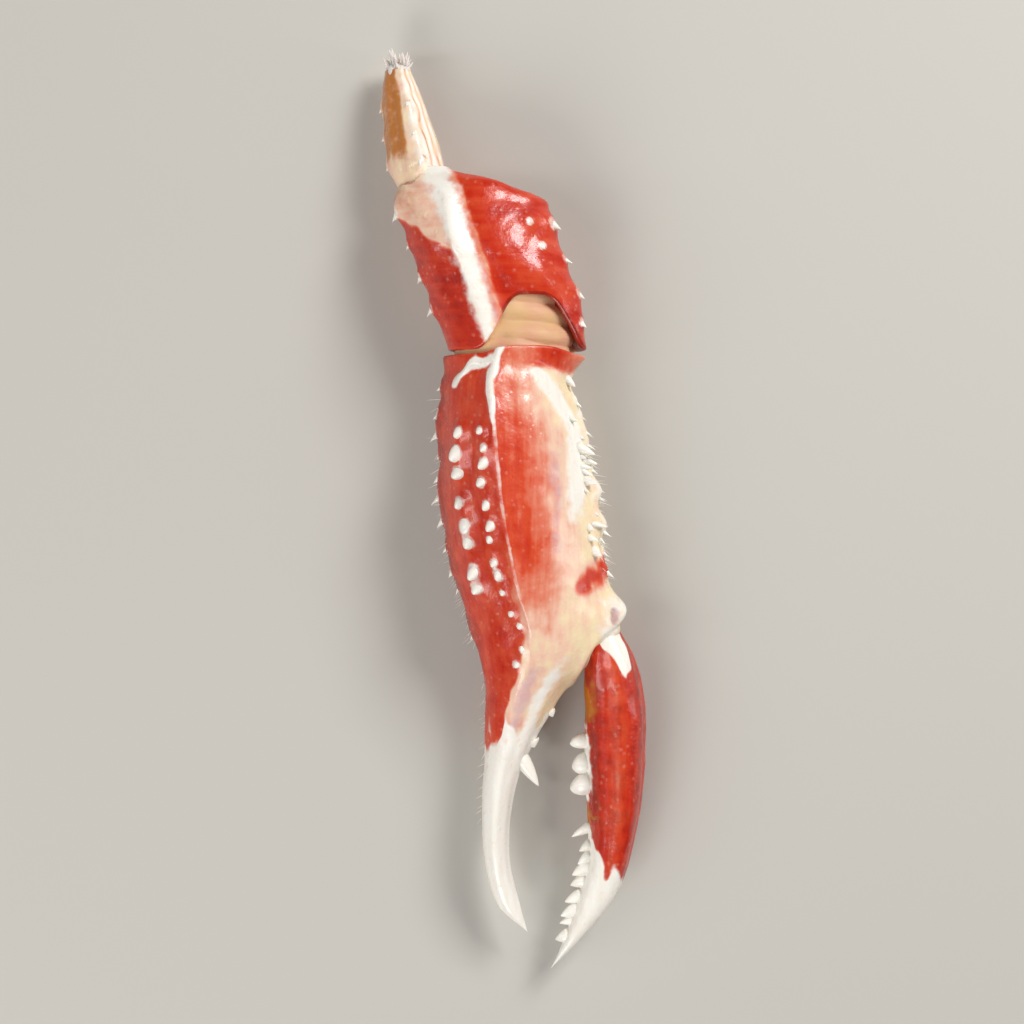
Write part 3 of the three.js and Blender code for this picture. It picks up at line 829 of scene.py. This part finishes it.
# Wrist
# The short block behind the palm is a red shell with a pale ridge along its left.
# Its edge towards the palm is scooped out on top, so that the claw can bend upwards.
wrist = Shell(
    node="wrist",
    outline=[
        (0, -0.335, 0.53, 0.1, 0.935),
        (0.3, -0.44, 0.48, 0.05, 1),
        (0.6, -0.56, 0.37, 0.04, 1),
        (0.85, -0.645, 0.3, 0.09, 0.91),
        (0.95, -0.668, 0.2, 0.15, 0.83),
        (1, -0.66, -0.24, 0.235, 0.69),
    ],
    x=-2,
    width=22,
    height=15.6,
    squareness=2.2,
    ridges=[Ridge(118, 0.09, 14), Ridge(118, 0.03, 5), Ridge(101, -0.04, 9), Ridge(15, 0.07, 16)],
    scoop=7.6,
    arch=2.6,
)
WRIST_SPOTS = row_spots((
    Row(33, 0.57, 0.57, 1, 0.65, 0.95, 0.9),
    Row(36, 0.74, 0.74, 1, 0.75, 1.05, 0.9),
    Row(15, 0.12, 0.75, 4, 1.0, 1.7, 0.9),
    Row(178, 0.25, 0.85, 4, 1.0, 1.5, 0.4),
))


def wrist_relief(share, degrees, places):
    """Mounds under the spines, and slight unevenness"""
    uneven = 0.2 * unevenness(places, 4) + 0.06 * unevenness(places, 1.6)
    return swellings(wrist, WRIST_SPOTS, places) + uneven


# The pale ridge's end at the palm, as X and Y, and its slope across the wrist
RIDGE_START = (-3.4, 25.2)
RIDGE_SLOPE = -0.333


def right_of_ridge(places):
    """Distance to the right of the pale ridge, which runs straight from the palm's keel to the arm's top"""
    x, y = RIDGE_START
    ridge = x + RIDGE_SLOPE * (places[..., 1] - y)
    return places[..., 0] - ridge + 0.4 * unevenness(places, 1.6, 2)


def wrist_marks(share, degrees, places):
    """Red cap to the right of the white ridge, red patch to its left, pale pink elsewhere, and mauve along
    the ridge's right side
    """
    turn = from_below(degrees)
    wander = turn + 5 * unevenness(places, 3)
    right = right_of_ridge(places)
    on_top = within(turn, 20, 40, 160, 185)
    ridge = bell(right, 1.3 + 1.1 * share) * on_top
    cap = smoothstep(-25, 5, wander) * smoothstep(155, 140, turn) * smoothstep(1.9, 3.1, right)
    patch_end = 0.62 + 0.0045 * (turn - 130) + 0.05 * unevenness(places, 2.5)
    patch = smoothstep(-0.6, -1.4, right) * smoothstep(100, 110, turn) * smoothstep(200, 180, wander)
    patch = patch * smoothstep(patch_end + 0.03, patch_end - 0.03, share)
    under = band(turn, 270, 70)
    blush = 0.45 * bell(right - 2, 1.2) * on_top
    scooped_edge = smoothstep(0.04, 0.01, share)
    return {
        "tint": np.maximum.reduce((0.78 * cap, 0.84 * patch, blush, 0.2 + 0.25 * under)),
        "white": np.maximum(0.62 * ridge, 0.36 * halos(wrist, WRIST_SPOTS, places)),
        "amber": 0.3 * band(turn, 165, 28) * smoothstep(patch_end, patch_end + 0.12, share),
        "dark": cap * np.maximum(0.32 * band(turn, -5, 25), 0.5 * scooped_edge),
        # Mauve along the pale ridge's right side, partly its own lilac tint and partly painted shade that
        # gives the ridge its form
        "mauve": 0.36 * bell(right - 1.5, 0.7) * on_top,
    }


WRIST_LIP = tuple((size, -shift) for size, shift in ROLLED_LIP)
ACROSS_STREAKS = (0.1, 1, 0.1)
wrist_shell = shell_piece(
    "wrist_shell", wrist, 140, 200, BOILED_SHELL, wrist_relief, wrist_marks, ACROSS_STREAKS,
    near_lip=WRIST_LIP, far_lip=ROLLED_LIP,
)
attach(wrist_shell, "root")
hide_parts("wrist")
wrist_spines = spine_piece("wrist_spines", wrist, WRIST_SPOTS, 0.5, THORN)
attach(wrist_spines, "root")

# Skin of the wrist joint
# A soft beige skin closes the gap between the palm's lip and the wrist's scooped edge.
# It bulges in a few soft folds with a crease between them, and runs on inside both shells.
WRINKLE_SIZE, BLUSH_SIZE = 0.8, 5


def joint_skin():
    """Boiled joint skin: soft, moist and half see-through, beige with a pink blush and cross wrinkles"""
    material, tree, place = new_material("joint_skin")
    across = add_node(tree, "ShaderNodeMapping", {"Vector": place, "Scale": (0.3, 1.0, 0.3)})
    wrinkles, blush = (
        add_node(tree, "ShaderNodeTexNoise", {"Vector": field, "Scale": 1 / (size * MM), "Detail": 3})
        for field, size in ((across, WRINKLE_SIZE), (place, BLUSH_SIZE))
    )
    share = add_node(tree, "ShaderNodeMapRange", {"Value": blush, "From Min": 0.38, "From Max": 0.66})
    mixed = {MIX_FACTOR: share, MIX_A: linear("#dcb482"), MIX_B: linear("#dba386")}
    bump = add_node(tree, "ShaderNodeBump", {"Height": wrinkles, "Strength": 0.5, "Distance": 0.25 * MM})
    skin = add_node(tree, "ShaderNodeBsdfPrincipled", {
        "Base Color": add_node(tree, "ShaderNodeMix", mixed, data_type="RGBA"),
        "Roughness": 0.5,
        "IOR": 1.4,
        "Subsurface Weight": 0.3,
        "Subsurface Radius": (1.0, 0.6, 0.35),
        "Subsurface Scale": 2 * MM,
        "Normal": bump,
    })
    add_node(tree, "ShaderNodeOutputMaterial", {"Surface": skin})
    return material


JOINT_SKIN = joint_skin()


def no_marks(share, degrees, places):
    """Skin and flesh carry no colour marks"""
    return {}


def fold_relief(folds, depth):
    """Relief of a soft skin's bulges, with creases between them that wander a little round it"""
    def relief(share, degrees, places):
        wander = 0.5 * np.sin(np.radians(degrees) * 2 + 1) + 0.6 * unevenness(places, 5)
        return depth * (np.abs(np.sin(np.pi * folds * share + wander)) + 0.4 * unevenness(places, 2.5))
    return relief


def shrunk(row, share):
    """An outline row drawn in towards its middle"""
    left, right, bottom, top = row
    across, up = (left + right) / 2, (bottom + top) / 2
    half_width, half_height = (right - left) / 2 * share, (top - bottom) / 2 * share
    return across - half_width, across + half_width, up - half_height, up + half_height


def far_rim(shell, other):
    """Outline row of a shell's far rim, in the widths and heights of another shell"""
    left, right, bottom, top = shell.outline[-1][1:]
    across = [(side * shell.width + shell.x - other.x) / other.width for side in (left, right)]
    up = [edge * shell.height / other.height for edge in (bottom, top)]
    return *across, *up


palm_rim = far_rim(palm, wrist)
wrist_skin_shape = Shell(
    node="wrist_membrane",
    outline=[
        (0, *shrunk(palm_rim, 0.76)),
        (0.25, *shrunk(palm_rim, 0.84)),
        (0.5, *shrunk(wrist.outline[0][1:], 0.84)),
        (1, *shrunk(wrist.outline[1][1:], 0.79)),
    ],
    x=wrist.x,
    width=wrist.width,
    height=wrist.height,
    squareness=1.95,
    ridges=[],
    near_tuck=1.2,
    far_tuck=2.8,
)
wrist_skin = shell_piece("wrist_skin", wrist_skin_shape, 90, 160, JOINT_SKIN, fold_relief(4, 0.5), no_marks)
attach(wrist_skin, "root")
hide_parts("wrist_membrane")

# Arm
# The slim three-sided limb that joined the claw to the body, pale pink with an amber side.
# It was twisted off, so that it tapers to an open end.
arm = Shell(
    node="arm",
    outline=[
        (0, -0.4, 0.42, 0.4, 1.1),
        (0.15, -0.48, 0.5, 0.27, 1.17),
        (0.5, -0.45, 0.43, 0.21, 1.04),
        (0.85, -0.34, 0.3, 0.25, 0.85),
        (1, -0.25, 0.23, 0.31, 0.75),
    ],
    x=-13.2,
    width=7.8,
    height=8.8,
    squareness=2,
    ridges=[
        Ridge(80, 0.1, 22), Ridge(80, 0.05, 7), Ridge(200, 0.1, 22), Ridge(320, 0.1, 22), Ridge(30, 0.06, 8),
        Ridge(125, -0.06, 12),
    ],
    lean=-3.2,
    near_tuck=1.4,
)
ARM_SPOTS = row_spots((Row(80, 0.2, 0.7, 3, 0.75, 1.0, 0.3), Row(200, 0.2, 0.7, 3, 0.75, 1.0, 0.3)))


def arm_relief(share, degrees, places):
    """Mounds under the spines, and slight unevenness"""
    return swellings(arm, ARM_SPOTS, places) + 0.1 * unevenness(places, 3)


def arm_marks(share, degrees, places):
    """Pale pink with a white top, an amber left side and amber lines on the right"""
    turn = from_below(degrees)
    wander = turn + 9 * unevenness(places, 1.2, 5)
    lines = band(wander, 62, 4) + 0.8 * band(wander, 40, 4)
    left_side = within(wander, 90, 108, 175, 205)
    return {
        "tint": 0.12 + 0.25 * band(turn, 270, 60),
        "white": 0.5 * band(turn, 55, 40) * (1 - lines),
        "amber": np.maximum(0.52 * left_side * smoothstep(0.1, 0.35, share), 0.36 * lines),
    }


arm_shell = shell_piece(
    "arm_shell", arm, 90, 128, BOILED_SHELL, arm_relief, arm_marks, ALONG_STREAKS,
    near_lip=WRIST_LIP, far_lip=ROLLED_LIP,
)
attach(arm_shell, "root")
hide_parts("arm")
arm_spines = spine_piece("arm_spines", arm, ARM_SPOTS, 0.5, THORN)
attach(arm_spines, "root")

# Skin of the elbow joint
# The same soft skin as at the wrist closes the wrist's far opening round the root of the arm.
# It runs on inside both, and bulges a little between their lips.
wrist_rim = far_rim(wrist, arm)
arm_root = arm.outline[0][1:]
elbow_shape = Shell(
    node="elbow_membrane",
    outline=[
        (0, *shrunk(wrist_rim, 0.9)),
        (0.33, *shrunk(wrist_rim, 0.86)),
        (0.6, *shrunk(arm_root, 0.95)),
        (1, *shrunk(arm_root, 0.86)),
    ],
    x=arm.x,
    width=arm.width,
    height=arm.height,
    squareness=2,
    ridges=[],
    near_tuck=1.85,
    far_tuck=1.15,
)
elbow_skin = shell_piece("elbow_skin", elbow_shape, 60, 96, JOINT_SKIN, fold_relief(3, 0.2), no_marks)
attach(elbow_skin, "root")
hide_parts("elbow_membrane")

# Flesh in the arm's end
# White boiled meat fills the arm and shows where the limb was pulled off.
# It tore into coarse fibres that stick out unevenly.
STRAND_SIZE = 0.5


def boiled_meat():
    """Boiled crustacean meat: white, moist and fibrous along the limb"""
    material, tree, place = new_material("boiled_meat")
    along = add_node(tree, "ShaderNodeMapping", {"Vector": place, "Scale": (1.0, 0.2, 1.0)})
    strands = add_node(tree, "ShaderNodeTexNoise", {
        "Vector": along, "Scale": 1 / (STRAND_SIZE * MM), "Detail": 3,
    })
    mixed = {MIX_FACTOR: strands, MIX_A: linear("#e8cfc0"), MIX_B: linear("#faf3ea")}
    bump = add_node(tree, "ShaderNodeBump", {"Height": strands, "Strength": 0.9, "Distance": 0.25 * MM})
    meat = add_node(tree, "ShaderNodeBsdfPrincipled", {
        "Base Color": add_node(tree, "ShaderNodeMix", mixed, data_type="RGBA"),
        "Roughness": 0.45,
        "IOR": 1.4,
        "Subsurface Weight": 0.5,
        "Subsurface Radius": (1.0, 0.7, 0.5),
        "Subsurface Scale": 2 * MM,
        "Normal": bump,
    })
    add_node(tree, "ShaderNodeOutputMaterial", {"Surface": meat})
    return material


BOILED_MEAT = boiled_meat()
arm_end = arm.outline[-1][1:]
flesh_shape = Shell(
    node="arm_flesh",
    outline=[
        (0, *shrunk(arm_end, 0.92)),
        (0.6, *shrunk(arm_end, 0.86)),
        (0.9, *shrunk(arm_end, 0.6)),
        (1, *shrunk(arm_end, 0.3)),
    ],
    x=arm.x + arm.lean,
    width=arm.width,
    height=arm.height,
    squareness=2,
    ridges=[Ridge(40, 0.08, 15), Ridge(130, 0.1, 18), Ridge(250, 0.08, 15)],
    near_tuck=1.5,
    far_tuck=-1.0,
)
arm_meat = shell_piece("arm_meat", flesh_shape, 40, 72, BOILED_MEAT, fold_relief(0.5, 0.1), no_marks)
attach(arm_meat, "root")
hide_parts("arm_flesh")
FIBRE = {
    "Sides": 6, "Rings": 4, "Blunt": 2.0, "Hollow": 0.6, "Bend": 0.8, "White From": 0.0, "White": 0.0,
    "Uneven": 0.3, "Seed": 14, "Finish": BOILED_MEAT,
}
FIBRE_ROWS = tuple(Row(turn, 0.72, 0.97, 3, 0.24, 1.5, 0.0) for turn in range(0, 360, 30))
fibre_spots = row_spots(FIBRE_ROWS, share_jitter=0.06, turn_jitter=15.0, seed=15)
meat_fibres = spine_piece("meat_fibres", flesh_shape, fibre_spots, -1.6, FIBRE, splay=0.25)
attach(meat_fibres, "root")

# Floor, light and camera
# The claw lies on a plain pale board under soft studio light, seen from straight above.
# The camera's distance comes from the claw's length, so that it fills most of the picture.
FLOOR_HALF = 1.0


def pale_board():
    """Painted board: matt and plain"""
    material = bpy.data.materials.new("pale_board")
    material.use_nodes = True
    paint = material.node_tree.nodes["Principled BSDF"]
    paint.inputs["Base Color"].default_value = linear("#c0bcb4")
    paint.inputs["Roughness"].default_value = 0.7
    return material


floor_mesh = bpy.data.meshes.new("floor")
floor_corners = [(x * FLOOR_HALF, y * FLOOR_HALF, 0) for x, y in ((-1, -1), (1, -1), (1, 1), (-1, 1))]
floor_mesh.from_pydata(floor_corners, [], [(0, 1, 2, 3)])
floor_mesh.materials.append(pale_board())
floor = new_object("floor", floor_mesh)


def soft_light(name, place, width, length, power):
    """A studio light that faces the claw, its place and size in metres and its power in watts"""
    light = bpy.data.lights.new(name, "AREA")
    light.shape = "RECTANGLE"
    light.size, light.size_y, light.energy = width, length, power
    lamp = new_object(name, light)
    lamp.location = place
    lamp.rotation_euler = Vector(place).to_track_quat("Z", "Y").to_euler()


soft_light("key_light", (0.31, 0.35, 0.36), 0.2, 0.2, 2.9)
soft_light("fill_light", (-0.24, -0.44, 0.34), 0.3, 0.3, 2.0)
soft_light("left_strip", (-0.36, 0.0, 0.36), 0.05, 0.5, 0.75)
soft_light("right_strip", (0.42, -0.02, 0.17), 0.06, 0.4, 0.35)
world = bpy.data.worlds.new("studio")
world.use_nodes = True
world.node_tree.nodes["Background"].inputs["Color"].default_value = (1, 1, 1, 1)
world.node_tree.nodes["Background"].inputs["Strength"].default_value = 0.12
bpy.context.scene.world = world
bpy.context.scene.view_settings.view_transform = "Standard"

LENS, SENSOR, FRAME_FILL = 100, 36, 0.9
camera_data = bpy.data.cameras.new("camera")
camera_data.lens, camera_data.sensor_width = LENS, SENSOR
camera = new_object("camera", camera_data)
middle = (cad_low + cad_high) / 2
distance = (cad_high.y - cad_low.y) / FRAME_FILL * LENS / SENSOR
camera.location = (middle.x, middle.y, middle.z + distance)
bpy.context.scene.camera = camera
